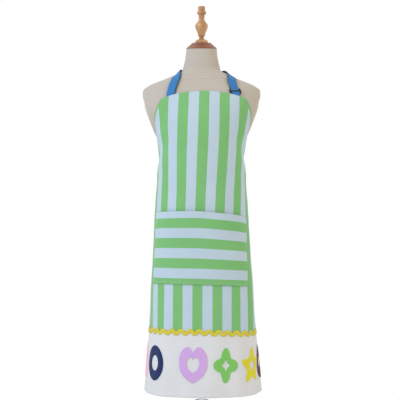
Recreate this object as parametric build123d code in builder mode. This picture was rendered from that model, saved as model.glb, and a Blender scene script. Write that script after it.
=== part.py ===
from build123d import *
import math
import os

# Bib apron on a dress form with a round-based stand. Millimetres, +Z up, origin on the floor under the
# pole. The front of the apron faces -Y and +X is to the viewer's right.

# ---- Stand -----------------------------------------------------------------------------------------
base_radius = 200.0
base_thick = 6.0
base_crown = 4.0
foot_height = 4.0
foot_radius = 11.0
foot_circle = 176.0
foot_count = 5
flange_radius = 40.0
flange_thick = 5.0
flange_collar_radius = 23.0
flange_collar_height = 34.0
screw_radius = 2.5
screw_head_radius = 4.8
screw_head_height = 2.6
screw_circle = 31.0
screw_count = 4
hole_clearance = 0.05

outer_tube_radius = 16.0
inner_tube_radius = 12.5
tube_wall = 1.6
running_gap = 0.05
lower_tube_top = 385.0
inner_tube_bottom = 130.0
inner_tube_top = 762.0
plug_height = 14.0

collar_radius = 23.0
collar_height = 40.0
collar_lip = 6.0
collar_boss_radius = 9.0
collar_boss_reach = 28.0
clamp_screw_radius = 4.0
knob_radius = 19.0
knob_length = 24.0
knob_reach = 36.0
knob_flutes = 8
knob_grip = 12.0

# ---- Dress form ------------------------------------------------------------------------------------
# Heights with the half width, and the depth in front of and behind the pole, of the padded core. The top
# station lies above the tilted cut.
torso_stations = [
    (700.0, 138.0, 100.0, 104.0),
    (780.0, 144.0, 106.0, 114.0),
    (860.0, 140.0, 104.0, 110.0),
    (950.0, 121.0, 94.0, 90.0),
    (1020.0, 111.0, 89.0, 80.0),
    (1090.0, 118.0, 99.0, 84.0),
    (1150.0, 125.0, 112.0, 90.0),
    (1203.0, 136.0, 116.0, 97.0),
    (1249.0, 160.0, 114.0, 101.0),
    (1300.0, 184.0, 105.0, 101.0),
    (1330.0, 187.0, 96.0, 97.0),
    (1359.0, 186.0, 80.0, 89.0),
    (1372.0, 172.0, 73.0, 83.0),
    (1395.0, 119.0, 62.0, 71.0),
    (1412.0, 80.0, 56.0, 62.0),
    (1424.0, 61.0, 53.0, 57.0),
    (1442.0, 56.0, 51.5, 54.0),
    (1472.0, 50.0, 49.0, 49.5),
    (1503.0, 47.0, 47.0, 47.0),
    (1520.0, 45.5, 45.5, 45.5),
]
squareness = 2.3
ring_facets = 22
strip_facets = 16
cover_thick = 1.6
core_wall = 8.0
torso_bottom = torso_stations[0][0]

arm_plate_point = (187.0, 1325.0)
arm_plate_foot = (140.0, 1203.0)
arm_plate_height = 124.0
arm_plate_width = 92.0
arm_plate_thick = 4.0
arm_plate_back = 8.0

board_thick = 12.0
board_inset = 10.0
socket_radius = 15.5
socket_flange_radius = 42.0
socket_flange_thick = 5.0
socket_cap_thick = 4.0
float_gap = 0.3

# The neck is cut off by a plane that leans forward, and everything on top of it leans with it.
neck_height = 1499.0
neck_tilt = 14.0
neck_block_height = 22.0
neck_block_gap = 3.8
neck_cap_height = 19.0
neck_cap_radius = 48.8
neck_cap_top_radius = 31.0
stud_radius = 4.0
stud_depth = 32.0
finial_disc_radius = 20.5
finial_stem_radius = 8.2
finial_bulb_radius = 20.3
finial_throat_radius = 9.3
finial_bead_radius = 14.9
finial_knop_radius = 11.2
finial_height = 115.0

# ---- Apron -----------------------------------------------------------------------------------------
# Heights with the half width, front depth and back depth of the hanging cloth, and how far the cloth
# reaches round from its centre line to its side edge, measured along the cloth.
hem_height = 422.0
border_top = 608.0
pocket_bottom = 748.0
pocket_top = 960.0
wing_height = 1040.0
bib_top = 1330.0
apron_half_width = 355.0
bib_half_width = 124.0
apron_stations = [
    (hem_height, 180.0, 140.0, 130.0, apron_half_width),
    (border_top, 167.0, 131.0, 127.0, apron_half_width),
    (pocket_bottom, 158.0, 124.5, 124.0, apron_half_width),
    (823.0, 153.0, 124.5, 122.0, apron_half_width),
    (pocket_top, 146.0, 124.5, 102.0, apron_half_width),
    (wing_height, 141.0, 124.0, 92.0, apron_half_width),
    (1088.0, 138.0, 124.0, 92.0, 275.0),
    (1138.0, 134.0, 124.0, 96.0, 216.0),
    (1188.0, 138.0, 124.0, 102.0, 184.0),
    (1228.0, 153.0, 121.5, 107.0, 174.0),
    (1253.0, 166.0, 119.0, 107.0, 166.0),
    (1293.0, 186.0, 111.5, 106.0, 147.0),
    (bib_top, 192.5, 102.5, 103.0, bib_half_width),
]
cloth_thick = 1.8
seam_gap = 0.2
pocket_half_width = 160.0
pocket_room = 8.0
pocket_seam = 3.0
trim_height = 19.0
trim_thick = 1.4
applique_thick = 1.0
applique_height = 105.0
applique_foot = 42.0
applique_width = 74.0
applique_corner = 30.0
applique_pitch = 97.0
applique_start = -296.0
applique_count = 7

strap_width = 25.0
strap_thick = 1.6
lining_width = 21.5
lining_thick = 0.8
lining_lift = 4.7
lining_shift = -3.0
strap_lift = 6.0
# The neck strap's route over the form: degrees round from the front, and height.
strap_left = [(-28.0, 1312.0), (-26.0, 1345.0), (-27.0, 1374.0), (-38.0, 1395.0), (-60.0, 1409.0)]
strap_back = [(-90.0, 1416.0), (-118.0, 1417.0), (-150.0, 1417.0), (180.0, 1417.0), (150.0, 1417.0)]
strap_right = [(118.0, 1416.0), (90.0, 1412.0), (64.0, 1404.0), (44.0, 1391.0)]
slider_run_top = (31.0, 1376.0)
slider_run_bottom = (32.5, 1312.0)
run_raise = 1.8

slider_half_width = 18.0
slider_opening = 14.6
slider_length = 20.0
slider_bar = 3.2
slider_centre = 30.5

tie_width = 25.0
tie_height = wing_height - 15.0
tie_overlap = 8.0
tie_gap = 1.2
tie_end = 174.0
tie_facets = 7
knot_size = (30.0, 12.0, 24.0)
bow_loop_length = 92.0
bow_loop_thick = 9.0
bow_tail_length = 230.0
bow_tail_thick = 2.5
bow_tail_gap = 2.0


neck_plane = Plane(
    origin=(0, 0, neck_height),
    x_dir=(1, 0, 0),
    z_dir=(0, -math.sin(math.radians(neck_tilt)), math.cos(math.radians(neck_tilt))),
)


def ring_point(half_width, front, back, degrees):
    """A point of a horizontal outline, degrees round from its front towards +X."""
    angle = math.radians(degrees)
    across = math.sin(angle)
    along = math.cos(angle)
    depth = front if along > 0 else back
    x = half_width * math.copysign(abs(across) ** (2 / squareness), across)
    y = -depth * math.copysign(abs(along) ** (2 / squareness), along)
    return x, y


def degrees_at(half_width, front, back, reach):
    """How far round an outline a length of cloth reaches from the front, in degrees."""
    travelled = 0.0
    degrees = 0.0
    step = 0.5
    last = ring_point(half_width, front, back, 0.0)
    while travelled < reach and degrees < 175.0:
        degrees += step
        here = ring_point(half_width, front, back, degrees)
        travelled += math.dist(last, here)
        last = here
    return degrees


def between(stations, height):
    """The sizes at any height, straight between two stations."""
    for low, high in zip(stations, stations[1:]):
        if low[0] <= height <= high[0]:
            share = (height - low[0]) / (high[0] - low[0])
            return tuple(a + share * (b - a) for a, b in zip(low, high))
    return stations[-1]


def closed_outline(half_width, front, back, grow):
    """The edges of the whole outline, grown outward, in flat facets."""
    turns = [360.0 * i / ring_facets for i in range(ring_facets)]
    with BuildLine() as outline:
        Polyline(
            *[ring_point(half_width + grow, front + grow, back + grow, turn) for turn in turns],
            close=True,
        )
    return outline.edges()


def wrapped_strip(half_width, front, back, reach, inner, outer):
    """The edges of cloth lying between two offsets of the outline, open at the back."""
    end = degrees_at(half_width, front, back, reach)
    turns = [-end + 2 * end * i / strip_facets for i in range(strip_facets + 1)]
    outside = [ring_point(half_width + outer, front + outer, back + outer, turn) for turn in turns]
    inside = [ring_point(half_width + inner, front + inner, back + inner, turn) for turn in turns]
    with BuildLine() as outline:
        Polyline(*outside, *reversed(inside), close=True)
    return outline.edges()


def torso_solid(grow):
    """The form's shape, grown outward, cut flat at the arms and at the top of the neck."""
    with BuildPart() as solid:
        for height, *sizes in torso_stations:
            with BuildSketch(Plane.XY.offset(height)):
                make_face(closed_outline(*sizes, grow))
        loft(ruled=True)
        for side in (-1, 1):
            split(bisect_by=arm_plane(side, grow), keep=Keep.BOTTOM)
        split(bisect_by=neck_plane, keep=Keep.BOTTOM)
    return solid.part


def arm_plane(side, grow=0.0):
    """The flat of an arm, facing outward, set back so that the plate covers it."""
    run = Vector(arm_plate_point[0] - arm_plate_foot[0], 0, arm_plate_point[1] - arm_plate_foot[1])
    outward = Vector(side * run.Z, 0, -run.X).normalized()
    middle = Vector(
        side * (arm_plate_point[0] + arm_plate_foot[0]) / 2,
        arm_plate_back,
        (arm_plate_point[1] + arm_plate_foot[1]) / 2,
    )
    set_back = arm_plate_thick + cover_thick - grow
    return Plane(origin=middle - outward * set_back, x_dir=(0, 1, 0), z_dir=outward)


def on_torso(degrees, height, lift):
    """A point on the form's cover, and the outward direction there, lifted off it."""

    def place(turn, level):
        sizes = between(torso_stations, level)
        grown = [size + cover_thick for size in sizes[1:]]
        return Vector(*ring_point(*grown, turn), level)

    across = place(degrees + 2, height) - place(degrees - 2, height)
    upward = place(degrees, height + 4) - place(degrees, height - 4)
    normal = across.cross(upward).normalized()
    return place(degrees, height) + normal * lift, normal


def ribbon_planes(route, lift):
    """Planes square to a strap's route, with x across the strap and y away from the form."""
    places = [on_torso(degrees, height, lift) for degrees, height in route]
    planes = []
    for i, (point, normal) in enumerate(places):
        ahead = places[min(i + 1, len(places) - 1)][0]
        behind = places[max(i - 1, 0)][0]
        tangent = (ahead - behind).normalized()
        across = normal.cross(tangent).normalized()
        planes.append(Plane(origin=point, x_dir=across, z_dir=tangent))
    return planes


def straight_run(lift):
    """The two end planes of the flat stretch that the slider travels on, top end first."""
    top, top_normal = on_torso(*slider_run_top, lift + run_raise)
    bottom, bottom_normal = on_torso(*slider_run_bottom, lift + run_raise)
    tangent = (bottom - top).normalized()
    normal = (top_normal + bottom_normal).normalized()
    across = normal.cross(tangent).normalized()
    return [Plane(origin=p, x_dir=across, z_dir=tangent) for p in (top, bottom)]


# ---- Stand parts -----------------------------------------------------------------------------------
plate_bottom = foot_height
plate_top = plate_bottom + base_thick
flange_top = plate_top + base_crown + flange_thick
flange_bottom = flange_top - flange_thick

with BuildPart() as base_plate:
    with BuildSketch(Plane.XZ):
        with BuildLine():
            Polyline(
                (0, plate_bottom),
                (base_radius, plate_bottom),
                (base_radius, plate_top),
            )
            crown_edge = Line((base_radius, plate_top), (flange_radius + 8, flange_bottom))
            Line(crown_edge @ 1, (0, flange_bottom))
            Line((0, flange_bottom), (0, plate_bottom))
        make_face()
    revolve(axis=Axis.Z)
    fillet(base_plate.edges().filter_by(GeomType.CIRCLE).group_by(SortBy.RADIUS)[-1], 3.0)
    with Locations(Plane.XY.offset(flange_bottom)):
        with PolarLocations(screw_circle, screw_count, start_angle=45):
            Hole(screw_radius + hole_clearance, depth=flange_bottom - plate_bottom - 2.0)
base_plate.part.label = "base_plate"

with BuildPart() as base_feet:
    with BuildSketch(Plane.XY):
        with PolarLocations(foot_circle, foot_count, start_angle=90):
            Circle(foot_radius)
    extrude(amount=foot_height)
    chamfer(base_feet.edges().group_by(Axis.Z)[0], 0.8)
base_feet.part.label = "base_feet"

with BuildPart() as pole_flange:
    with BuildSketch(Plane.XY.offset(flange_bottom)):
        Circle(flange_radius)
    extrude(amount=flange_thick)
    with BuildSketch(Plane.XY.offset(flange_top)):
        Circle(flange_collar_radius)
    extrude(amount=flange_collar_height)
    fillet(pole_flange.edges().group_by(Axis.Z)[-1], 2.0)
    with Locations((0, 0, flange_top + flange_collar_height)):
        Hole(outer_tube_radius, depth=flange_collar_height + 1.0)
    with Locations(Plane.XY.offset(flange_top)):
        with PolarLocations(screw_circle, screw_count, start_angle=45):
            Hole(screw_radius + hole_clearance, depth=flange_thick)
pole_flange.part.label = "pole_flange"


def screws(name, seat, direction, length):
    """Four screws on the screw circle, with their heads on the seat and their shanks along direction."""
    with BuildPart() as group:
        with BuildSketch(Plane.XY.offset(seat)):
            with PolarLocations(screw_circle, screw_count, start_angle=45):
                Circle(screw_radius)
        extrude(amount=direction * length)
        with BuildSketch(Plane.XY.offset(seat)):
            with PolarLocations(screw_circle, screw_count, start_angle=45):
                Circle(screw_head_radius)
        extrude(amount=-direction * screw_head_height)
    group.part.label = name
    return group.part


flange_screws = screws("flange_screws", flange_top, -1, flange_thick + 8.0)

lower_tube_bottom = flange_top - 1.0
with BuildPart() as lower_tube:
    with BuildSketch(Plane.XY.offset(lower_tube_bottom)):
        Circle(outer_tube_radius)
        Circle(inner_tube_radius + running_gap, mode=Mode.SUBTRACT)
    extrude(amount=lower_tube_top - lower_tube_bottom)
lower_tube.part.label = "lower_tube"

# The collar hugs the top of the outer tube and closes on the inner one with a small lip.
collar_bottom = lower_tube_top + collar_lip - collar_height
clamp_level = lower_tube_top - collar_height / 2 + collar_lip
with BuildPart() as clamp_collar:
    with BuildSketch(Plane.XY.offset(collar_bottom)):
        Circle(collar_radius)
    extrude(amount=collar_height)
    fillet(clamp_collar.edges().group_by(Axis.Z)[-1], 2.5)
    fillet(clamp_collar.edges().group_by(Axis.Z)[0], 1.5)
    with BuildSketch(Plane.XZ):
        with Locations((0, clamp_level)):
            Circle(collar_boss_radius)
    extrude(amount=-collar_boss_reach)
    with BuildSketch(Plane.XY.offset(collar_bottom)):
        Circle(outer_tube_radius)
    extrude(amount=collar_height - collar_lip, mode=Mode.SUBTRACT)
    with BuildSketch(Plane.XY.offset(collar_bottom)):
        Circle(inner_tube_radius + running_gap)
    extrude(amount=collar_height, mode=Mode.SUBTRACT)
    with BuildSketch(Plane.XZ):
        with Locations((0, clamp_level)):
            Circle(clamp_screw_radius + running_gap)
    extrude(amount=-collar_boss_reach - 1.0, mode=Mode.SUBTRACT)
clamp_collar.part.label = "clamp_collar"

# The knob's axis points to the back of the form.
with BuildPart() as clamp_screw:
    with BuildSketch(Plane.XZ.offset(-outer_tube_radius - 0.5)):
        with Locations((0, clamp_level)):
            Circle(clamp_screw_radius)
    extrude(amount=-(knob_reach - outer_tube_radius - 0.5 + knob_grip))
clamp_screw.part.label = "clamp_screw"

with BuildPart() as clamp_knob:
    with BuildSketch(Plane.XZ.offset(-knob_reach)):
        with Locations((0, clamp_level)):
            Circle(knob_radius)
        with Locations((0, clamp_level)):
            with PolarLocations(knob_radius + 2.0, knob_flutes):
                Circle(4.0, mode=Mode.SUBTRACT)
    extrude(amount=-knob_length)
    with BuildSketch(Plane.XZ.offset(-knob_reach)):
        with Locations((0, clamp_level)):
            Circle(clamp_screw_radius)
    extrude(amount=-knob_grip, mode=Mode.SUBTRACT)
clamp_knob.part.label = "clamp_knob"

with BuildPart() as inner_tube:
    with BuildSketch(Plane.XY.offset(inner_tube_bottom)):
        Circle(inner_tube_radius)
        Circle(inner_tube_radius - tube_wall, mode=Mode.SUBTRACT)
    extrude(amount=inner_tube_top - inner_tube_bottom)
inner_tube.part.label = "inner_tube"

with BuildPart() as tube_plug:
    with BuildSketch(Plane.XY.offset(inner_tube_top - plug_height)):
        Circle(inner_tube_radius - tube_wall)
    extrude(amount=plug_height)
    with BuildSketch(Plane.XY.offset(inner_tube_top)):
        Circle(inner_tube_radius - 0.5)
    extrude(amount=2.0)
tube_plug.part.label = "tube_plug"

# ---- Form parts ------------------------------------------------------------------------------------
board_bottom = torso_bottom
socket_top = inner_tube_top + 2.0 + float_gap + socket_cap_thick
with BuildPart() as pole_socket:
    with BuildSketch(Plane.XY.offset(board_bottom - socket_flange_thick)):
        Circle(socket_flange_radius)
    extrude(amount=socket_flange_thick)
    with BuildSketch(Plane.XY.offset(board_bottom)):
        Circle(socket_radius)
    extrude(amount=socket_top - board_bottom)
    with BuildSketch(Plane.XY.offset(board_bottom - socket_flange_thick)):
        Circle(inner_tube_radius + running_gap)
    extrude(amount=socket_top - socket_cap_thick - board_bottom + socket_flange_thick, mode=Mode.SUBTRACT)
    with Locations(Plane.XY.offset(board_bottom)):
        with PolarLocations(screw_circle, screw_count, start_angle=45):
            Hole(screw_radius + hole_clearance, depth=socket_flange_thick)
pole_socket.part.label = "pole_socket"

socket_screws = screws("socket_screws", board_bottom - socket_flange_thick, 1, socket_flange_thick + 9.0)

with BuildPart() as bottom_board:
    with BuildSketch(Plane.XY.offset(board_bottom)):
        make_face(closed_outline(*torso_stations[0][1:], -board_inset))
    extrude(amount=board_thick)
    with Locations((0, 0, board_bottom + board_thick)):
        Hole(socket_radius + hole_clearance, depth=board_thick)
    with Locations(Plane.XY.offset(board_bottom + board_thick)):
        with PolarLocations(screw_circle, screw_count, start_angle=45):
            Hole(screw_radius + hole_clearance, depth=board_thick)
bottom_board.part.label = "bottom_board"

with BuildPart() as torso_shell:
    add(torso_solid(cover_thick))
    add(torso_solid(-core_wall), mode=Mode.SUBTRACT)
torso_shell.part.label = "torso_shell"


def arm_plate(name, side):
    """A padded oval plate that closes an arm."""
    with BuildPart() as plate:
        with BuildSketch(arm_plane(side, cover_thick)):
            Ellipse(arm_plate_width / 2, arm_plate_height / 2)
        extrude(amount=arm_plate_thick)
        fillet(plate.faces().sort_by(Axis.X)[-1 if side > 0 else 0].edges(), 1.5)
    plate.part.label = name
    return plate.part


left_arm_plate = arm_plate("left_arm_plate", -1)
right_arm_plate = arm_plate("right_arm_plate", 1)

with BuildPart() as neck_block:
    with BuildSketch(neck_plane.offset(-neck_block_height)):
        Circle(neck_cap_radius - cover_thick - core_wall - neck_block_gap)
        Circle(stud_radius + hole_clearance, mode=Mode.SUBTRACT)
    extrude(amount=neck_block_height)
neck_block.part.label = "neck_block"

# The turned pieces are drawn in a plane through the neck's own axis, with heights from the neck's top.
turning_plane = Plane(origin=neck_plane.origin, x_dir=(1, 0, 0), z_dir=-neck_plane.y_dir)
neck_axis = Axis(neck_plane.origin, neck_plane.z_dir)
cap_top = neck_cap_height
with BuildPart() as neck_cap:
    with BuildSketch(turning_plane):
        with BuildLine():
            Polyline(
                (stud_radius + hole_clearance, 0),
                (neck_cap_radius, 0),
                (neck_cap_radius, 3.5),
                (neck_cap_radius - 4.0, 6.5),
                (neck_cap_top_radius + 3.0, cap_top - 3.5),
                (neck_cap_top_radius, cap_top),
                (stud_radius + hole_clearance, cap_top),
                close=True,
            )
        make_face()
    revolve(axis=neck_axis)
neck_cap.part.label = "neck_cap"

# Disc, stem, bulb, throat, bead and knop, from the cap upward, as (radius, height above the cap).
with BuildPart() as finial:
    with BuildSketch(turning_plane.shift_origin(neck_plane.origin + neck_plane.z_dir * cap_top)):
        with BuildLine():
            foot = Polyline((0, 0), (finial_disc_radius, 0), (finial_disc_radius, 5.0))
            dome = ThreePointArc(foot @ 1, (16.0, 10.0), (finial_stem_radius, 12.0))
            stem = Line(dome @ 1, (finial_stem_radius, 20.0))
            lip = Line(stem @ 1, (11.6, 23.0))
            bulb = Spline(lip @ 1, (14.8, 36.0), (finial_bulb_radius, 53.0), (18.2, 61.5))
            step = Polyline(bulb @ 1, (14.5, 62.5), (14.5, 65.0))
            throat = Spline(step @ 1, (10.4, 71.0), (finial_throat_radius, 81.0), (10.5, 88.5))
            bead = ThreePointArc(throat @ 1, (finial_bead_radius, 94.5), (finial_knop_radius, 100.5))
            knop = Polyline(
                bead @ 1,
                (finial_knop_radius, finial_height - 2.0),
                (finial_knop_radius - 2.0, finial_height),
                (0, finial_height),
            )
            Line(knop @ 1, foot @ 0)
        make_face()
    revolve(axis=neck_axis)
    with BuildSketch(neck_plane.offset(cap_top)):
        Circle(stud_radius + hole_clearance)
    extrude(amount=stud_depth - 10.0, mode=Mode.SUBTRACT)
finial.part.label = "finial"

with BuildPart() as finial_stud:
    with BuildSketch(neck_plane.offset(cap_top - stud_depth)):
        Circle(stud_radius)
    extrude(amount=2 * stud_depth - 11.0)
finial_stud.part.label = "finial_stud"


# ---- Apron parts -----------------------------------------------------------------------------------
def cloth_panel(name, low, high, reach=None, inner=0.0, outer=cloth_thick):
    """A strip of cloth from low to high round the form, lying between two offsets of the apron."""
    heights = [low] + [s[0] for s in apron_stations if low < s[0] < high] + [high]
    with BuildPart() as panel:
        for height in heights:
            _, half_width, front, back, full_reach = between(apron_stations, height)
            with BuildSketch(Plane.XY.offset(height)):
                make_face(wrapped_strip(half_width, front, back, reach or full_reach, inner, outer))
        loft(ruled=True)
    panel.part.label = name
    return panel.part


striped_panel = cloth_panel("striped_panel", border_top, bib_top)
border_panel = cloth_panel("border_panel", hem_height, border_top)

pocket_inner = cloth_thick + seam_gap
pocket_outer = pocket_inner + pocket_room + cloth_thick
pocket_block = cloth_panel(
    "pocket_block", pocket_bottom, pocket_top, pocket_half_width, pocket_inner, pocket_outer
)
pocket_space = cloth_panel(
    "pocket_space",
    pocket_bottom + pocket_seam,
    pocket_top,
    pocket_half_width - pocket_seam,
    pocket_inner - 1.0,
    pocket_outer - cloth_thick,
)
with BuildPart() as pocket:
    add(pocket_block)
    add(pocket_space, mode=Mode.SUBTRACT)
pocket.part.label = "pocket"

trim_inner = cloth_thick + seam_gap
ric_rac_trim = cloth_panel(
    "ric_rac_trim",
    border_top - trim_height / 2,
    border_top + trim_height / 2,
    apron_half_width,
    trim_inner,
    trim_inner + trim_thick,
)

# Plain rounded blocks on the border, evenly spaced along the cloth, where the cut-out shapes are sewn.
applique_middle = hem_height + applique_foot + applique_height / 2
applique_band = cloth_panel(
    "applique_band",
    hem_height + applique_foot,
    hem_height + applique_foot + applique_height,
    apron_half_width,
    trim_inner,
    trim_inner + applique_thick,
)
with BuildPart() as appliques:
    sizes = between(apron_stations, applique_middle)[1:4]
    for i in range(applique_count):
        along = applique_start + i * applique_pitch
        turn = math.copysign(degrees_at(*sizes, abs(along)), along)
        place = Vector(*ring_point(*sizes, turn), applique_middle)
        nearby = ring_point(*sizes, turn + 1.0)
        tangent = Vector(nearby[0] - place.X, nearby[1] - place.Y, 0).normalized()
        outward = tangent.cross(Vector(0, 0, 1))
        with BuildSketch(Plane(origin=place - outward * 14.0, x_dir=tangent, z_dir=outward)):
            RectangleRounded(applique_width, applique_height - 1.0, applique_corner)
        extrude(amount=30.0)
    add(applique_band, mode=Mode.INTERSECT)
appliques.part.label = "appliques"

strap_route = strap_left + strap_back + strap_right


def strap_band(name, lift, width, thick, shift):
    """A ribbon from one bib corner over the shoulder, round the neck and down to the other corner."""
    planes = ribbon_planes(strap_route + [slider_run_top], lift)[:-1] + straight_run(lift)
    with BuildPart() as band:
        for plane in planes:
            with BuildSketch(plane):
                with Locations((shift, 0)):
                    Rectangle(width, thick)
        loft(ruled=True)
        split(bisect_by=Plane.XY.offset(bib_top + seam_gap), keep=Keep.TOP)
    band.part.label = name
    return band.part


neck_strap = strap_band("neck_strap", strap_lift, strap_width, strap_thick, 0.0)
strap_lining = strap_band("strap_lining", lining_lift, lining_width, lining_thick, lining_shift)

run_top, run_bottom = straight_run(strap_lift)
slider_place = run_bottom.origin - run_bottom.z_dir * slider_centre
slider_plane = Plane(origin=slider_place, x_dir=run_bottom.x_dir, z_dir=run_bottom.y_dir)
rail_width = slider_half_width - slider_opening
back_face = lining_lift - strap_lift - lining_thick / 2 - 0.3
front_face = strap_thick / 2 + 0.3
with BuildPart() as strap_slider:
    with BuildSketch(slider_plane.offset(back_face - 1.4)):
        RectangleRounded(2 * slider_half_width, slider_length, 2.0)
        Rectangle(2 * slider_opening, slider_length - 2 * slider_bar, mode=Mode.SUBTRACT)
    extrude(amount=1.4)
    with BuildSketch(slider_plane.offset(back_face)):
        for side in (-1, 1):
            with Locations((side * (slider_half_width - rail_width / 2), 0)):
                Rectangle(rail_width, slider_length - 3.0)
    extrude(amount=front_face - back_face)
    with BuildSketch(slider_plane.offset(front_face)):
        Rectangle(2 * slider_half_width, slider_bar)
    extrude(amount=1.8)
strap_slider.part.label = "strap_slider"


# The ties run over the small of the back from the top corners of the skirt to a flat bow.
def waist_tie(name, side):
    """A tape from a skirt corner to the knot."""
    sizes = between(apron_stations, tie_height)[1:4]
    grown = [size + cloth_thick + tie_gap + strap_thick / 2 for size in sizes]
    start = degrees_at(*sizes, apron_half_width) - tie_overlap
    turns = [start + (tie_end - start) * i / tie_facets for i in range(tie_facets + 1)]
    with BuildPart() as tie:
        for turn in turns:
            x, y = ring_point(*grown, turn)
            nearby = ring_point(*grown, turn + 1.0)
            tangent = Vector(side * (nearby[0] - x), nearby[1] - y, 0).normalized()
            place = Plane(origin=(side * x, y, tie_height), x_dir=(0, 0, 1), z_dir=tangent)
            with BuildSketch(place):
                Rectangle(tie_width, strap_thick)
        loft(ruled=True)
    tie.part.label = name
    return tie.part


left_waist_tie = waist_tie("left_waist_tie", -1)
right_waist_tie = waist_tie("right_waist_tie", 1)

def bow_tail(side):
    """A hanging end of the bow, lying just off the back of the form."""
    with BuildPart() as tail:
        for share in (0.0, 0.3, 0.6, 0.8, 1.0):
            height = tie_height - share * bow_tail_length
            behind = max(bow_back, between(torso_stations, height)[3] + cover_thick + bow_tail_gap)
            with BuildSketch(Plane.XY.offset(height)):
                with Locations((side * (10.0 + 20.0 * share), behind + bow_tail_thick / 2)):
                    Rectangle(tie_width, bow_tail_thick)
        loft(ruled=True)
    return tail.part


bow_back = between(apron_stations, tie_height)[3] + cloth_thick + 3.0
with BuildPart() as tie_bow:
    with BuildSketch(Plane.XZ.offset(-bow_back)):
        with Locations((0, tie_height)):
            RectangleRounded(knot_size[0], knot_size[2], 8.0)
    extrude(amount=-knot_size[1])
    for side in (-1, 1):
        with BuildSketch(Plane.XZ.offset(-bow_back)):
            with Locations((side * (knot_size[0] + bow_loop_length) / 2, tie_height - 8.0)):
                SlotOverall(bow_loop_length, tie_width + 4.0, rotation=side * -12.0)
        extrude(amount=-bow_loop_thick)
        add(bow_tail(side))
tie_bow.part.label = "tie_bow"

# ---- Files -----------------------------------------------------------------------------------------
os.makedirs("parts", exist_ok=True)
finished = [
    base_plate.part,
    base_feet.part,
    pole_flange.part,
    flange_screws,
    lower_tube.part,
    clamp_collar.part,
    clamp_screw.part,
    clamp_knob.part,
    inner_tube.part,
    tube_plug.part,
    pole_socket.part,
    socket_screws,
    bottom_board.part,
    torso_shell.part,
    left_arm_plate,
    right_arm_plate,
    neck_block.part,
    neck_cap.part,
    finial.part,
    finial_stud.part,
    striped_panel,
    border_panel,
    pocket.part,
    ric_rac_trim,
    appliques.part,
    neck_strap,
    strap_lining,
    strap_slider.part,
    left_waist_tie,
    right_waist_tie,
    tie_bow.part,
]
for piece in finished:
    export_step(piece, f"parts/{piece.label}.step")

slide_direction = -run_bottom.z_dir
print("slider centre", [round(v, 2) for v in tuple(slider_place)])
print("slider travel direction", [round(v, 5) for v in tuple(slide_direction)])
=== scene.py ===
import math

import bpy
import numpy as np
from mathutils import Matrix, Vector


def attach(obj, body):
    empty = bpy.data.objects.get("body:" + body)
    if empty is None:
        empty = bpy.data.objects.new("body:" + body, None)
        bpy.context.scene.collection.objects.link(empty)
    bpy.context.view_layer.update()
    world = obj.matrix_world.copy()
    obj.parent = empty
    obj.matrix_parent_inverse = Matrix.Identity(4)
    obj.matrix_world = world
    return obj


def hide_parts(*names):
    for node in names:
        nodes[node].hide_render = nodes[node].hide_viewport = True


# Bib apron on a dress form. Metres, +Z up, the apron's front faces -Y.

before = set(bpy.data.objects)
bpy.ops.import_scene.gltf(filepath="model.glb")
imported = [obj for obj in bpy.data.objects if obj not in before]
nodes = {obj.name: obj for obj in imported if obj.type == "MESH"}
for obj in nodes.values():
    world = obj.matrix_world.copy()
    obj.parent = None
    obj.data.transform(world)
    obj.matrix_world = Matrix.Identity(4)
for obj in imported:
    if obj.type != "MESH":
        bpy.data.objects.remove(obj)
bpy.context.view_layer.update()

MM = 0.001

# ---- Shapes shared with the design ------------------------------------------------------------------
# Height, half width, front depth and back depth of the padded form, in millimetres.
TORSO = [
    (700, 138, 100, 104),
    (780, 144, 106, 114),
    (860, 140, 104, 110),
    (950, 121, 94, 90),
    (1020, 111, 89, 80),
    (1090, 118, 99, 84),
    (1150, 125, 112, 90),
    (1203, 136, 116, 97),
    (1249, 160, 114, 101),
    (1300, 184, 105, 101),
    (1330, 187, 96, 97),
    (1359, 186, 80, 89),
    (1372, 172, 73, 83),
    (1395, 119, 62, 71),
    (1412, 80, 56, 62),
    (1424, 61, 53, 57),
    (1442, 56, 51.5, 54),
    (1472, 50, 49, 49.5),
    (1503, 47, 47, 47),
    (1520, 45.5, 45.5, 45.5),
]
SQUARENESS = 2.3
COVER = 1.6
# The neck is cut off by a plane that leans forward.
NECK_HEIGHT = 1499.0
NECK_TILT = math.radians(14.0)
ARM_TOP = (187, 1325)
ARM_FOOT = (140, 1203)
ARM_PLATE = (92, 124)
ARM_PLATE_THICK = 4.0
ARM_PLATE_BACK = 8.0

# Height, half width, front depth, back depth and flat half width of the hanging cloth.
HEM = 422.0
BORDER_TOP = 608.0
POCKET_BOTTOM = 748.0
POCKET_TOP = 960.0
WING = 1040.0
BIB_TOP = 1338.0
HALF_WIDTH = 355.0
BIB_HALF = 116.5
APRON = [
    (410, 177, 140.5, 130, 355),
    (422, 176, 140, 130, 355),
    (608, 164, 131, 127, 355),
    (748, 158.5, 124.5, 124, 355),
    (823, 153, 124.5, 122, 355),
    (960, 146, 124.5, 102, 355),
    (1040, 141, 124, 92, 355),
    (1070, 139, 124, 92, 297),
    (1100, 137, 124, 93, 250),
    (1138, 134, 124, 96, 204),
    (1188, 138, 124, 102, 170.5),
    (1228, 153, 121.5, 107, 160.5),
    (1253, 166, 119, 107, 155),
    (1293, 186, 111.5, 106, 138.5),
    (1330, 192, 102, 103, 120),
    (1350, 192, 97, 100, 116.5),
]
# The apron hangs a little askew: how far its centre line stands to the right, and how far the whole
# cloth is pulled to the right, by height.
SKEW = [(410, -20), (748, -15), (980, -4), (1203, 5), (1350, 9)]
PULL = [(410, 4), (608, 4), (748, 2.5), (960, 0), (1350, 0)]
# How far the cloth's level lines are lifted or sag, by height, at the left, the centre and the right.
DROOP = [
    (410, 0, 0, 0),
    (608, 0, 2, -6),
    (748, 4, 0, -6),
    (960, 8, 6, -8),
    (1100, 0, 0, 0),
    (1350, 0, 0, 0),
]
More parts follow.
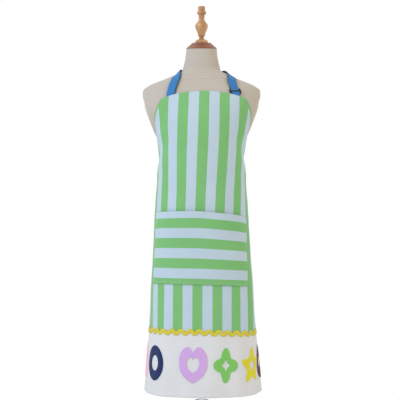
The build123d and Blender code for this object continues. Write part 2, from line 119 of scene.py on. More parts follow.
# How far the cloth is eased over the form, by height: the share by which it lies wider than cut.
EASE = [
    (410, 1.015),
    (960, 1.02),
    (1040, 1.031),
    (1100, 1.07),
    (1150, 1.10),
    (1228, 1.105),
    (1293, 1.085),
    (1350, 1.075),
]
BIB_ARCH = 18.0
STRIPE = 29.0
POCKET_HALF = 160.0
POCKET_PUFF = 7.0
HEM_DEPTH = 20.0
BIB_FACING = 60.0
CLOTH = 1.1

APPLIQUE_FOOT = 42.0
APPLIQUE_HEIGHT = 102.0

STRAP_WIDTH = 25.0
STRAP_THICK = 1.6
STRAP_LIFT = 6.0
# Beside the neck the strap turns to stand on its edge, and lies higher and closer in.
STRAP_TWIST = 0.45
STRAP_RISE = -5.0
STRAP_TUCK = 2.0
STRAP_SMOOTHINGS = 120
# The dark lining under the strap shows as a thin dark strip beside it: partly the strap's dark reverse side,
# partly a painted shadow of the strap on the form.
LINING_LIFT = 4.7
LINING_SHIFT = -3.0
RUN_RAISE = 1.8
LINING_WIDTH = 21.5
LINING_THICK = 0.8
STRAP_ROUTE = [
    (-28.5, 1304),
    (-27.6, 1325),
    (-25.6, 1345),
    (-25.6, 1374),
    (-37, 1396),
    (-59, 1410),
    (-90, 1418),
    (-118, 1419),
    (-150, 1418),
    (-180, 1418),
    (-210, 1418),
    (-242, 1418),
    (-270, 1415),
    (-296, 1405),
    (-316, 1391),
    (-329, 1376),
    (-328.2, 1345),
    (-327.5, 1312),
    (-327.3, 1302),
]


def smooth(table, heights):
    """The table's columns at the given heights, on a smooth curve that doesn't overshoot."""
    rows = np.array(table, float)
    z = rows[:, 0]
    steps = np.diff(z)[:, None]
    slopes = np.diff(rows[:, 1:], axis=0) / steps
    tangents = np.zeros_like(rows[:, 1:])
    tangents[0] = slopes[0]
    tangents[-1] = slopes[-1]
    same = slopes[:-1] * slopes[1:] > 0
    before, after = steps[:-1], steps[1:]
    weight_a, weight_b = 2 * after + before, after + 2 * before
    blended = (weight_a + weight_b) / (
        weight_a / np.where(same, slopes[:-1], 1) + weight_b / np.where(same, slopes[1:], 1)
    )
    tangents[1:-1] = np.where(same, blended, 0)
    heights = np.clip(np.atleast_1d(heights), z[0], z[-1])
    i = np.clip(np.searchsorted(z, heights, side="right") - 1, 0, len(z) - 2)
    h = (z[i + 1] - z[i])[:, None]
    t = ((heights - z[i]) / (z[i + 1] - z[i]))[:, None]
    low, high = rows[i, 1:], rows[i + 1, 1:]
    return (
        (2 * t**3 - 3 * t**2 + 1) * low
        + (t**3 - 2 * t**2 + t) * h * tangents[i]
        + (3 * t**2 - 2 * t**3) * high
        + (t**3 - t**2) * h * tangents[i + 1]
    )


def ring(half_width, front, back, degrees):
    """Points of a horizontal outline, degrees round from its front towards +X."""
    angle = np.radians(degrees)
    across, along = np.sin(angle), np.cos(angle)
    power = 2 / SQUARENESS
    x = half_width * np.sign(across) * np.abs(across) ** power
    depth = np.where(along > 0, front, back)
    y = -depth * np.sign(along) * np.abs(along) ** power
    return x, y


# ---- Mesh helpers -----------------------------------------------------------------------------------
def new_object(name, verts, faces, uvs=None, shade_smooth=True):
    """A mesh object from points in millimetres. uvs are per vertex, in metres along the flat cloth."""
    mesh = bpy.data.meshes.new(name)
    mesh.from_pydata([tuple(MM * float(c) for c in v) for v in verts], [], faces)
    if uvs is not None:
        layer = mesh.uv_layers.new(name="Flat")
        index = np.zeros(len(mesh.loops), np.int32)
        mesh.loops.foreach_get("vertex_index", index)
        layer.data.foreach_set("uv", (np.array(uvs, np.float32) * MM)[index].ravel())
    mesh.update()
    if shade_smooth:
        mesh.shade_smooth()
    piece = bpy.data.objects.new(name, mesh)
    bpy.context.scene.collection.objects.link(piece)
    return piece


def grid_faces(rows, columns, closed_columns=False, flip=False):
    """Quads of a grid of rows x columns, vertices counted along the rows."""
    faces = []
    last = columns if closed_columns else columns - 1
    for r in range(rows - 1):
        for c in range(last):
            d = (c + 1) % columns
            face = (r * columns + c, r * columns + d, (r + 1) * columns + d, (r + 1) * columns + c)
            faces.append(face[::-1] if flip else face)
    return faces


def apply_modifiers(piece):
    """Bakes a piece's modifiers into its mesh."""
    graph = bpy.context.evaluated_depsgraph_get()
    baked = bpy.data.meshes.new_from_object(piece.evaluated_get(graph), depsgraph=graph)
    piece.modifiers.clear()
    piece.data = baked
    return piece


def thicken(piece, thickness, offset=0.0):
    """Gives a sheet its thickness, in millimetres, along its normals."""
    solid = piece.modifiers.new("Thickness", "SOLIDIFY")
    solid.thickness = thickness * MM
    solid.offset = offset
    solid.use_even_offset = False
    return apply_modifiers(piece)


def join(name, pieces):
    """One object from several, under a name."""
    first = pieces[0]
    with bpy.context.temp_override(
        active_object=first, object=first, selected_objects=pieces, selected_editable_objects=pieces
    ):
        bpy.ops.object.join()
    first.name = name
    return first


def dress(piece, material, body, slot, *replaced):
    """Gives a piece its material and body, and hides the nodes that it stands for; slot is not used."""
    piece.data.materials.clear()
    piece.data.materials.append(material)
    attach(piece, body)
    if replaced:
        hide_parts(*replaced)
    return piece


# ---- Surfaces that pieces lie on ----------------------------------------------------------------------
def unit(vectors):
    return vectors / np.maximum(np.linalg.norm(vectors, axis=-1, keepdims=True), 1e-9)


def torso_at(degrees, heights, grow=COVER):
    """Points on the form's cover, grown outward, with the arms flattened to the arm planes.

    Known defect: the planes are not bounded at the arms' foot, so they narrow the whole lower body too.
    """
    degrees, heights = np.broadcast_arrays(np.asarray(degrees, float), np.asarray(heights, float))
    sizes = smooth(TORSO, heights.ravel())
    x, y = ring(*(sizes + grow).T, degrees.ravel())
    z = heights.ravel()
    run = np.array([ARM_TOP[0] - ARM_FOOT[0], ARM_TOP[1] - ARM_FOOT[1]], float)
    run /= np.hypot(*run)
    beyond = (np.abs(x) - ARM_TOP[0]) * run[1] - (z - ARM_TOP[1]) * run[0]
    beyond += ARM_PLATE_THICK + COVER - grow
    soft = 1.5
    push = np.where(beyond > 4 * soft, beyond, soft * np.log1p(np.exp(np.minimum(beyond, 4 * soft) / soft)))
    clamped = np.where(beyond > -4 * soft, push, 0)
    x = x - np.sign(x) * clamped / run[1]
    return np.stack([x, y, z], -1).reshape(*degrees.shape, 3)


def lean_neck(points):
    """Tips the top of the neck forward until its rim lies in the leaning plane."""
    share = smoothstep(1452, NECK_HEIGHT, points[..., 2])
    leaned = points.copy()
    leaned[..., 2] += share * points[..., 1] * math.tan(NECK_TILT)
    return leaned


def torso_normal(degrees, heights):
    across = torso_at(degrees + 1.5, heights) - torso_at(degrees - 1.5, heights)
    upward = torso_at(degrees, heights + 3) - torso_at(degrees, heights - 3)
    return unit(np.cross(across, upward))


def smoothstep(low, high, value):
    t = np.clip((value - low) / (high - low), 0, 1)
    return t * t * (3 - 2 * t)


def fold_height(u, z):
    """How far the cloth stands out from its plain hanging shape, in millimetres."""
    fall = smoothstep(1010, 430, z)
    out = (np.abs(u) / HALF_WIDTH) ** 2
    sway = u + 16 * np.sin(z / 150)
    long_fold = np.sin(2 * np.pi * sway / 131 + 0.5) + 0.45 * np.sin(2 * np.pi * sway / 73 + 2.1 + z / 260)
    waves = (2.2 + 2.6 * out) * fall * long_fold
    chest = smoothstep(1000, 1120, z) * smoothstep(1340, 1240, z)
    drag = chest * 1.5 * np.sin(2 * np.pi * (z + 0.55 * np.abs(u)) / 84) * smoothstep(60, 150, np.abs(u))
    ripple = 0.35 * np.sin(u / 17 + z / 41) * np.sin(z / 29 - u / 53)
    waist = smoothstep(880, 1000, z) * smoothstep(1120, 1010, z)
    gather = waist * 1.6 * np.sin(2 * np.pi * (z + 0.2 * np.abs(u)) / 47) * smoothstep(170, 290, np.abs(u))
    return waves + drag + ripple + gather


class Cloth:
    """The hanging cloth as a map from flat coordinates to space. u runs along the cloth, z is the height."""

    def __init__(self):
        self.u = np.arange(-381, 382, 3.0)
        self.z = np.arange(HEM - 12, BIB_TOP + 14, 4.0)
        sizes = smooth(APRON, self.z)[:, :3]
        skew, pull, ease = (np.interp(self.z, *np.array(t, float).T) for t in (SKEW, PULL, EASE))
        droop = smooth(DROOP, self.z)
        turns = np.linspace(-179, 179, 1433)
        points = np.zeros((len(self.z), len(self.u), 3))
        for i, row in enumerate(sizes):
            x, y = ring(*row, turns)
            length = np.concatenate([[0], np.cumsum(np.hypot(np.diff(x), np.diff(y)))])
            length -= length[len(turns) // 2]
            reach = self.u * ease[i] + skew[i]
            points[i, :, 0] = np.interp(reach, length, x) + pull[i]
            points[i, :, 1] = np.interp(reach, length, y)
            points[i, :, 2] = self.z[i] + np.interp(self.u, (-240, 0, 160, 300), (*droop[i], droop[i][2]))
        lift = fold_height(self.u[None, :], self.z[:, None])
        points += self.normals(points) * (lift + 1.0)[..., None]
        self.points = points
        self.normal = self.normals(points)

    def normals(self, points):
        along = np.gradient(points, axis=1)
        up = np.gradient(points, axis=0)
        return unit(np.cross(along, up))

    def look_up(self, table, u, z):
        a = np.clip((np.asarray(u, float) - self.u[0]) / 3.0, 0, len(self.u) - 1.001)
        b = np.clip((np.asarray(z, float) - self.z[0]) / 4.0, 0, len(self.z) - 1.001)
        i, j = b.astype(int), a.astype(int)
        s, t = (b - i)[..., None], (a - j)[..., None]
        low = table[i, j] * (1 - t) + table[i, j + 1] * t
        high = table[i + 1, j] * (1 - t) + table[i + 1, j + 1] * t
        return low * (1 - s) + high * s

    def at(self, u, z, lift=0.0):
        """Points on the cloth's middle surface, lifted off it, in millimetres."""
        u, z = np.broadcast_arrays(np.asarray(u, float), np.asarray(z, float))
        lift = np.broadcast_to(np.asarray(lift, float), u.shape)
        return self.look_up(self.points, u, z) + unit(self.look_up(self.normal, u, z)) * lift[..., None]


cloth = Cloth()


def edge_reach(z):
    """How far the cut cloth reaches from its centre line at a height."""
    return smooth([(row[0], row[4]) for row in APRON], z)[:, 0]


def bib_edge(u):
    """The height of the bib's slightly arched top edge."""
    return BIB_TOP - BIB_ARCH * (np.abs(u) / BIB_HALF) ** 2


def pocket_puff(u, z):
    """How far the pocket stands off the apron: sewn flat at its sides and foot, open at its mouth."""
    side = np.clip(1 - (np.abs(u) / POCKET_HALF) ** 4, 0, 1)
    rise = np.clip((z - POCKET_BOTTOM) / (POCKET_TOP - POCKET_BOTTOM), 0, 1)
    return 1.6 + POCKET_PUFF * side * (0.12 + 0.88 * rise**2) * np.minimum(1, rise * 8)


# ---- Materials ----------------------------------------------------------------------------------------
class Nodes:
    """A small writer of shader nodes."""

    def __init__(self, name, rough=0.8, sheen=0.0, specular=0.5, metallic=0.0, coat=0.0):
        self.material = bpy.data.materials.new(name)
        self.material.use_nodes = True
        self.tree = self.material.node_tree
        self.shader = self.tree.nodes["Principled BSDF"]
        self.shader.inputs["Roughness"].default_value = rough
        self.shader.inputs["Sheen Weight"].default_value = sheen
        self.shader.inputs["Sheen Roughness"].default_value = 0.4
        self.shader.inputs["Specular IOR Level"].default_value = specular
        self.shader.inputs["Metallic"].default_value = metallic
        self.shader.inputs["Coat Weight"].default_value = coat

    def add(self, kind, **values):
        node = self.tree.nodes.new(kind)
        for key, value in values.items():
            setattr(node, key, value)
        return node

    def link(self, source, target):
        self.tree.links.new(source, target)

    def math(self, operation, *inputs):
        node = self.add("ShaderNodeMath", operation=operation)
        for socket, value in zip(node.inputs, inputs):
            if isinstance(value, (int, float)):
                socket.default_value = value
            else:
                self.link(value, socket)
        return node.outputs[0]

    def mix(self, factor, a, b, mode="MIX"):
        node = self.add("ShaderNodeMix", data_type="RGBA", blend_type=mode)
        for socket, value in ((node.inputs[0], factor), (node.inputs[6], a), (node.inputs[7], b)):
            if isinstance(value, (int, float)):
                socket.default_value = value
            elif isinstance(value, tuple):
                socket.default_value = (*value, 1.0)
            else:
                self.link(value, socket)
        return node.outputs[2]

    def noise(self, scale, detail=3.0, vector=None, stretch=None):
        node = self.add("ShaderNodeTexNoise")
        node.inputs["Scale"].default_value = scale
        node.inputs["Detail"].default_value = detail
        source = vector or self.add("ShaderNodeTexCoord").outputs["Object"]
        if stretch:
            mapping = self.add("ShaderNodeMapping")
            mapping.inputs["Scale"].default_value = stretch
            self.link(source, mapping.inputs["Vector"])
            source = mapping.outputs["Vector"]
        self.link(source, node.inputs["Vector"])
        return node.outputs["Fac"]

    def flat(self):
        """The two flat coordinates of the cloth, in metres."""
        uv = self.add("ShaderNodeUVMap", uv_map="Flat")
        split = self.add("ShaderNodeSeparateXYZ")
        self.link(uv.outputs["UV"], split.inputs[0])
        return split.outputs[0], split.outputs[1]

    def bump(self, height, strength, distance, normal=None):
        node = self.add("ShaderNodeBump")
        node.inputs["Strength"].default_value = strength
        node.inputs["Distance"].default_value = distance
        self.link(height, node.inputs["Height"])
        if normal is not None:
            self.link(normal, node.inputs["Normal"])
        return node.outputs["Normal"]

    def finish(self, colour=None, normal=None, rough=None):
        for value, name in ((colour, "Base Color"), (normal, "Normal"), (rough, "Roughness")):
            if isinstance(value, tuple):
                self.shader.inputs[name].default_value = (*value, 1.0)
            elif value is not None:
                self.link(value, self.shader.inputs[name])
        return self.material


def srgb(red, green, blue):
    """A linear colour from screen values."""
    shares = (red / 255, green / 255, blue / 255)
    return tuple(c / 12.92 if c <= 0.04045 else ((c + 0.055) / 1.055) ** 2.4 for c in shares)


def stripe_factor(n, along, pitch, shift):
    """1 on the coloured stripes and 0 between them, with an edge as soft as a woven one."""
    turned = n.math("ADD", along, shift)
    wave = n.math("SINE", n.math("MULTIPLY", turned, math.pi / pitch))
    sharp = n.math("MULTIPLY_ADD", wave, 24.0, 0.5)
    return n.math("MINIMUM", n.math("MAXIMUM", sharp, 0.0), 1.0)


def weave_height(n, u, v, thread):
    """A plain weave: threads that pass over and under each other."""
    turns = 2 * math.pi / thread
    a = n.math("SINE", n.math("MULTIPLY", u, turns))
    b = n.math("SINE", n.math("MULTIPLY", v, turns))
    return n.math("MULTIPLY", a, b)


def worn(n, colour, amount=0.06, scale=14.0):
    """The colour with a soft uneven dye."""
    cloud = n.noise(scale, 4.0)
    fine = n.noise(900.0, 2.0)
    shade = n.math("ADD", n.math("MULTIPLY", cloud, amount * 2), n.math("MULTIPLY", fine, amount * 1.2))
    value = n.math("ADD", shade, 1 - amount * 1.6)
    tone = n.add("ShaderNodeCombineColor")
    for socket in tone.inputs:
        n.link(value, socket)
    return n.mix(1.0, colour, tone.outputs[0], "MULTIPLY")


GREEN = srgb(108, 165, 101)
PALE = srgb(166, 182, 194)
OFF_WHITE = srgb(195, 195, 197)


def woven(name, colour, thread=0.0011, rough=0.85, sheen=0.12, strength=0.35):
    """A plain woven cloth in one dyed colour."""
    n = Nodes(name, rough, sheen, 0.3)
    u, v = n.flat()
    return n.finish(worn(n, colour), n.bump(weave_height(n, u, v, thread), strength, 0.00025))


def striped(name, across_pocket=False):
    """The green and pale striped cotton. On the pocket the stripes run across, below a pale hem."""
    n = Nodes(name, 0.8, 0.15, 0.3)
    u, v = n.flat()
    if across_pocket:
        top = (POCKET_TOP - HEM_DEPTH) * MM
        down = n.math("SUBTRACT", top, v)
        below = n.math("GREATER_THAN", down, 0.0)
        bands = stripe_factor(n, down, STRIPE * MM, 0.0)
        factor = n.math("MULTIPLY", bands, below)
    else:
        factor = stripe_factor(n, u, STRIPE * MM, STRIPE / 2 * MM)
    colour = n.mix(factor, PALE, GREEN)
    return n.finish(worn(n, colour), n.bump(weave_height(n, u, v, 0.0011), 0.35, 0.00025))


def webbing(name, colour):
    """Herringbone webbing with raised ribs."""
    n = Nodes(name, 0.6, 0.1, 0.4)
    u, v = n.flat()
    rib = n.math("SINE", n.math("MULTIPLY", n.math("ADD", n.math("ABSOLUTE", u), v), 2 * math.pi / 0.0022))
    lane = n.math("SINE", n.math("MULTIPLY", u, 2 * math.pi / 0.0032))
    height = n.math("ADD", rib, n.math("MULTIPLY", lane, 0.6))
    # The ribs' colour follows their height: darker in the grooves and lighter on the crowns, a painted shade.
    tone = n.math("MULTIPLY_ADD", rib, 0.08, 0.95)
    rib_groove_shade = n.add("ShaderNodeCombineColor")
    for socket in rib_groove_shade.inputs:
        n.link(tone, socket)
    return n.finish(n.mix(1.0, worn(n, colour), rib_groove_shade.outputs[0], "MULTIPLY"), n.bump(height, 0.5, 0.0004))


def jersey(name, colour):
    """The form's fine beige knit over padding."""
    n = Nodes(name, 0.9, 0.15, 0.2)
    knit = n.noise(1500.0, 2.0, stretch=(1.0, 1.0, 0.35))
    lumps = n.noise(26.0, 3.0)
    normal = n.bump(lumps, 0.25, 0.004)
    return n.finish(worn(n, colour, 0.05, 9.0), n.bump(knit, 0.35, 0.0004, normal))


def wood(name, light, dark, along, rough=0.4, coat=0.15):
    """Wood with grain stretched along one axis."""
    n = Nodes(name, rough, 0.0, 0.5, coat=coat)
    stretch = [60.0, 60.0, 60.0]
    stretch[along] = 7.0
    grain = n.noise(1.0, 6.0, stretch=tuple(stretch))
    fine_stretch = [420.0, 420.0, 420.0]
    fine_stretch[along] = 22.0
    pores = n.noise(1.0, 3.0, stretch=tuple(fine_stretch))
    sharp = n.math("MULTIPLY_ADD", grain, 2.6, -0.8)
    factor = n.math("MINIMUM", n.math("MAXIMUM", sharp, 0.0), 1.0)
    colour = n.mix(factor, light, dark)
    shade = n.math("MULTIPLY", n.math("GREATER_THAN", pores, 0.6), 0.35)
    colour = n.mix(shade, colour, tuple(0.5 * c for c in dark))
    rough_map = n.math("MULTIPLY_ADD", pores, 0.3, rough - 0.1)
    return n.finish(colour, n.bump(pores, 0.15, 0.0004), rough_map)


def hard(name, colour, rough, metallic=0.0, grain=1200.0, strength=0.08, coat=0.0):
    """A moulded, painted or metal surface with a fine texture."""
    n = Nodes(name, rough, 0.0, 0.5, metallic, coat)
    fine = n.noise(grain, 3.0)
    smear = n.noise(18.0, 4.0)
    rough_map = n.math("MULTIPLY_ADD", smear, 0.25, rough - 0.12)
    return n.finish(worn(n, colour, 0.04, 30.0), n.bump(fine, strength, 0.0002), rough_map)


MATERIALS = {
    "striped": striped("striped_cotton"),
    "pocket": striped("pocket_cotton", across_pocket=True),
    "border": woven("border_cotton", OFF_WHITE),
    "thread_white": woven("white_thread", srgb(184, 204, 198)),
    "yellow": woven("ric_rac", srgb(192, 178, 48), 0.0014, 0.75, 0.1, 0.6),
    "navy": woven("navy_felt", srgb(12, 34, 80), 0.0016),
    "lilac": woven("lilac_felt", srgb(184, 148, 198), 0.0016),
    "leaf": woven("green_felt", srgb(110, 174, 86), 0.0016),
    "sun": woven("yellow_felt", srgb(196, 188, 26), 0.0016),
    "wine": woven("wine_felt", srgb(74, 28, 46), 0.0016),
    "pink": woven("pink_felt", srgb(226, 160, 178), 0.0016),
    "backing": woven("white_felt", srgb(206, 206, 208), 0.0016),
    "blue": webbing("blue_webbing", srgb(24, 106, 168)),
    # Near-black tape for the strap's lining: partly its dark reverse side, partly a painted shadow beside the
    # strap.
    "dark": webbing("dark_tape_and_painted_shadow", srgb(24, 20, 30)),
    "jersey": jersey("form_jersey", srgb(167, 159, 149)),
    # The piping is lighter than the cover, so the neck's seam shows as a painted highlight line.
    "piping": woven("form_piping_painted_highlight", srgb(190, 181, 166), 0.0009),
    "cap": wood("cap_wood", srgb(140, 80, 38), srgb(88, 46, 20), 0, 0.38, 0.25),
    "finial": wood("finial_wood", srgb(192, 146, 98), srgb(140, 98, 58), 2, 0.42, 0.2),
    "board": wood("board_wood", srgb(196, 164, 122), srgb(160, 126, 88), 0, 0.6, 0.0),
    "paint": hard("dark_enamel", srgb(40, 36, 34), 0.45, 0.0, 700.0, 0.2, 0.2),
    "chrome": hard("polished_tube", srgb(205, 206, 210), 0.16, 1.0, 900.0, 0.03),
    "steel": hard("zinc_steel", srgb(176, 176, 178), 0.36, 1.0, 1500.0, 0.1),
    "plastic": hard("black_plastic", srgb(26, 26, 28), 0.5, 0.0, 1600.0, 0.25),
    "gloss": hard("gloss_plastic", srgb(16, 16, 20), 0.22, 0.0, 900.0, 0.05, 0.3),
    "rubber": hard("foot_rubber", srgb(22, 22, 22), 0.85, 0.0, 1100.0, 0.3),
}


# ---- The dress form -----------------------------------------------------------------------------------
def closed_rings(name, rows, uvs=None):
    """A tube of closed rings with both ends capped by a fan."""
    count = rows.shape[1]
    verts = [tuple(p) for p in rows.reshape(-1, 3)]
    faces = grid_faces(len(rows), count, closed_columns=True)
    for first, flip in ((0, True), ((len(rows) - 1) * count, False)):
        centre = len(verts)
        verts.append(tuple(np.mean(verts[first : first + count], axis=0)))
        for i in range(count):
            face = (first + i, first + (i + 1) % count, centre)
            faces.append(face[::-1] if flip else face)
    if uvs is not None:
        uvs = list(uvs) + [uvs[0], uvs[-1]]
    return new_object(name, verts, faces, uvs)


def torso_cover():
    """The padded form's stretched cover, tucked under at the hips and under the neck cap."""
    count = 132
    turns = np.arange(count) * 360.0 / count
    body = np.arange(700, 1330, 6.0)
    shoulders = np.arange(1330, NECK_HEIGHT, 2.5)
    heights = np.concatenate([body, shoulders, [NECK_HEIGHT - 0.3]])
    rows = lean_neck(torso_at(turns[None, :], heights[:, None]))
    tuck = [torso_at(turns, np.full(count, 700.0), grow) for grow in (-10.5, -3.0, 0.6)]
    tuck = [t - (0, 0, drop) for t, drop in zip(tuck, (0.2, 1.6, 1.0))]
    rows = np.concatenate([np.array(tuck), rows])
    piece = closed_rings("torso_cover", rows)
    dress(piece, MATERIALS["jersey"], "form", "form_fabric", "torso_shell")
    return piece


def tube_along(name, points, radius, closed=False, sides=8):
    """A round tube along points in millimetres."""
    points = np.array(points, float)
    if closed:
        tangent = np.roll(points, -1, 0) - np.roll(points, 1, 0)
    else:
        tangent = np.gradient(points, axis=0)
    tangent = unit(tangent)
    helper = np.array([0.31, 0.17, 0.94])
    side = unit(np.cross(tangent, helper))
    up = np.cross(side, tangent)
    angle = np.arange(sides) * 2 * np.pi / sides
    rings = (
        points[:, None, :]
        + radius * np.cos(angle)[None, :, None] * side[:, None, :]
        + radius * np.sin(angle)[None, :, None] * up[:, None, :]
    )
    if closed:
        rings = np.concatenate([rings, rings[:1]])
        verts = rings[:-1].reshape(-1, 3)
        rows = len(points)
        faces = []
        for r in range(rows):
            for c in range(sides):
                d, s = (c + 1) % sides, (r + 1) % rows
                faces.append((r * sides + c, s * sides + c, s * sides + d, r * sides + d))
        uvs = [(0, 0)] * len(verts)
        return new_object(name, verts, faces, uvs)
    uvs = [(0, 0)] * (len(rings) * sides)
    return closed_rings(name, rings, uvs)


def form_seams():
    """Fine corded seams at the neck's base, over the shoulders and down the centre of the back."""
    turns = np.linspace(-180, 180, 145)[:-1]
    front = np.clip(np.cos(np.radians(turns)), 0, 1) ** 1.3
    neck = torso_at(turns, 1421 - 34 * front, COVER + 0.25)
    heights = np.arange(706, 1416, 6.0)
    back = torso_at(np.full(len(heights), 180.0), heights, COVER + 0.2)
    # The seams' piping is coloured lighter than the cover: a painted highlight along the neck's seam.
    pieces = [tube_along("neck_seam", neck, 1.2, closed=True), tube_along("back_seam", back, 0.7)]
    for side in (-1, 1):
        climb = np.arange(1374, 1423, 3.0)
        shoulder = torso_at(np.full(len(climb), side * 93.0), climb, COVER + 0.2)
        pieces.append(tube_along("shoulder_seam", shoulder, 0.7))
    return dress(join("form_seams", pieces), MATERIALS["piping"], "form", "form_fabric")


def arm_plates():
    """The padded oval pads that close the arms, each with a corded edge."""
    run = np.array([ARM_TOP[0] - ARM_FOOT[0], ARM_TOP[1] - ARM_FOOT[1]], float)
    run /= np.hypot(*run)
    middle = (np.array(ARM_TOP, float) + np.array(ARM_FOOT, float)) / 2
    for name, side in (("left_arm_plate", -1), ("right_arm_plate", 1)):
        along = np.array([side * run[0], 0, run[1]])
        outward = np.array([side * run[1], 0, -run[0]])
        centre = np.array([side * middle[0], ARM_PLATE_BACK, middle[1]]) - outward * ARM_PLATE_THICK
        angle = np.arange(72) * 2 * np.pi / 72
        oval = (
            np.cos(angle)[:, None] * np.array([0, 1, 0]) * ARM_PLATE[0] / 2
            + np.sin(angle)[:, None] * along * ARM_PLATE[1] / 2
        )
        if side > 0:
            oval = oval[::-1]
        rows = []
        for size in (0.94, 1.0):
            rows.append(centre + oval * size - outward * 1.5)
        for size in (1.0, 0.985, 0.95, 0.88, 0.75, 0.55, 0.3, 0.08):
            rise = (ARM_PLATE_THICK + 1.0) * (1 - size**7) + 0.8 * (1 - size**2)
            rows.append(centre + oval * size + outward * rise)
        plate = closed_rings(name.replace("plate", "pad"), np.array(rows))
        dress(plate, MATERIALS["jersey"], "form", "form_fabric", name)
        cord = tube_along(name + "_piping", centre + oval * 1.012 + outward * 0.4, 1.5, closed=True)
        dress(cord, MATERIALS["piping"], "form", "form_fabric")


# ---- The apron ----------------------------------------------------------------------------------------
def cloth_patch(name, u, z, lift, thick=CLOTH):
    """A piece of cloth over a grid of flat coordinates, lifted off the hanging cloth."""
    points = cloth.at(u, z, lift)
    rows, columns = u.shape
    uvs = np.stack([u, z], -1).reshape(-1, 2)
    piece = new_object(name, points.reshape(-1, 3), grid_faces(rows, columns), uvs)
    return thicken(piece, thick)


def cloth_ribbon(name, path, width, lift, thick, dome=0.0, columns=5):
    """A narrow strip that follows a path of flat coordinates on the cloth."""
    path = np.array(path, float)
    tangent = unit(np.gradient(path, axis=0))
    side = np.stack([-tangent[:, 1], tangent[:, 0]], -1)
    across = np.linspace(-0.5, 0.5, columns)
    u = path[:, None, 0] + side[:, None, 0] * across * width
    z = path[:, None, 1] + side[:, None, 1] * across * width
    travelled = np.concatenate([[0], np.cumsum(np.linalg.norm(np.diff(path, axis=0), axis=1))])
    rise = lift + dome * (1 - (2 * across) ** 2)
    points = cloth.at(u, z, np.broadcast_to(rise, u.shape))
    uvs = np.stack(np.broadcast_arrays(across * width, travelled[:, None]), -1).reshape(-1, 2)
    piece = new_object(name, points.reshape(-1, 3), grid_faces(len(path), columns, flip=True), uvs)
    return thicken(piece, thick)


def resample(path, step):
    """Points evenly spaced along a path of flat coordinates."""
    path = np.array(path, float)
    length = np.concatenate([[0], np.cumsum(np.linalg.norm(np.diff(path, axis=0), axis=1))])
    at = np.linspace(0, length[-1], max(2, int(round(length[-1] / step)) + 1))
    return np.stack([np.interp(at, length, path[:, k]) for k in range(2)], -1)


def side_edge(side, inset, low=HEM, high=BIB_TOP):
    """The cut side edge from the hem up past the wing to the bib's corner, moved inward."""
    heights = np.concatenate([np.arange(low, min(WING, high), 12.0), np.arange(WING, high, 5.0), [high]])
    reach = edge_reach(heights)
    raw = resample(np.stack([side * reach, heights], -1), 6.0)
    tangent = unit(np.gradient(raw, axis=0))
    inward = np.stack([-tangent[:, 1], tangent[:, 0]], -1) * side
    return raw + inward * inset


class Stitches:
    """Gathers single raised stitches into one piece."""

    def __init__(self):
        self.verts = []
        self.faces = []

    def run(self, path, lift, pitch=3.6, length=2.7, width=0.75, height=0.45):
        """Stitches along a path of flat coordinates. lift is a number or a function of the place."""
        ends = resample(path, pitch)
        step = np.diff(ends, axis=0)
        start, stop = ends[:-1], ends[:-1] + step * (length / pitch)
        centre = (start + stop) / 2

        def place(flat, extra):
            high = lift(flat[:, 0], flat[:, 1]) if callable(lift) else lift
            return cloth.at(flat[:, 0], flat[:, 1], high + extra)

        a, b, top = place(start, 0.0), place(stop, 0.0), place(centre, height)
        foot = place(centre, -0.1)
        side = unit(np.cross(b - a, top - foot)) * width / 2
        for corner in zip(a, b, foot + side, foot - side, top):
            first = len(self.verts)
            self.verts.extend(corner)
            for face in ((0, 2, 4), (2, 1, 4), (1, 3, 4), (3, 0, 4), (0, 3, 2), (1, 2, 3)):
                self.faces.append(tuple(first + i for i in face))

    def make(self, name, material):
        uvs = [(p[0], p[2]) for p in self.verts]
        piece = new_object(name, self.verts, self.faces, uvs, shade_smooth=False)
        return dress(piece, material, "form", "striped_cotton")


def striped_panel():
    """Bib and skirt in one cut, hemmed all round."""
    share = np.linspace(-1, 1, 231)
    rise = np.linspace(0, 1, 186)[:, None]
    heights = BORDER_TOP + (BIB_TOP - BORDER_TOP) * rise
    u = share * edge_reach(heights.ravel())[:, None]
    within_bib = u * np.clip(BIB_HALF / np.maximum(np.abs(u), BIB_HALF), 0, 1)
    z = BORDER_TOP + (bib_edge(within_bib) - BORDER_TOP) * rise
    piece = cloth_patch("striped_cloth", u, z, 0.0)
    dress(piece, MATERIALS["striped"], "form", "striped_cotton", "striped_panel")
    return piece


def border_panel():
    """The plain border sewn under the stripes."""
    u, z = np.meshgrid(np.linspace(-HALF_WIDTH, HALF_WIDTH, 237), np.linspace(HEM, BORDER_TOP, 63))
    piece = cloth_patch("border_cloth", u, z, 0.0)
    dress(piece, MATERIALS["border"], "form", "border_cotton", "border_panel")
    return piece


def pocket():
    """The wide front pocket, sewn down at its sides and foot."""
    u, z = np.meshgrid(
        np.linspace(-POCKET_HALF, POCKET_HALF, 129), np.linspace(POCKET_BOTTOM, POCKET_TOP, 87)
    )
    piece = cloth_patch("pocket_cloth", u, z, pocket_puff(u, z))
    dress(piece, MATERIALS["pocket"], "form", "striped_cotton", "pocket")
    return piece


def facings():
    """The turned-in hems on the inside of the cloth: down both sides, across the bib's top and along the
    bottom.
    """
    pieces = []
    for side in (-1, 1):
        path = side_edge(side, 6.5, HEM + 2, BIB_TOP - BIB_ARCH - 2)
        pieces.append(cloth_ribbon("facing", path, 11.0, -1.25, 0.9))
    across = np.arange(-BIB_HALF + 3, BIB_HALF - 2, 4.0)
    deep = np.stack([across, bib_edge(across) - BIB_FACING / 2 - 1], -1)
    pieces.append(cloth_ribbon("facing", deep, BIB_FACING + 2, -1.25, 0.9, columns=13))
    band = join("hem_facings", pieces)
    dress(band, MATERIALS["striped"], "form", "striped_cotton")
    low = np.arange(-HALF_WIDTH + 2, HALF_WIDTH - 1, 5.0)
    hem = cloth_ribbon("bottom_facing", np.stack([low, np.full(len(low), HEM + 9.5)], -1), 17.0, -1.25, 0.9)
    dress(hem, MATERIALS["border"], "form", "border_cotton")


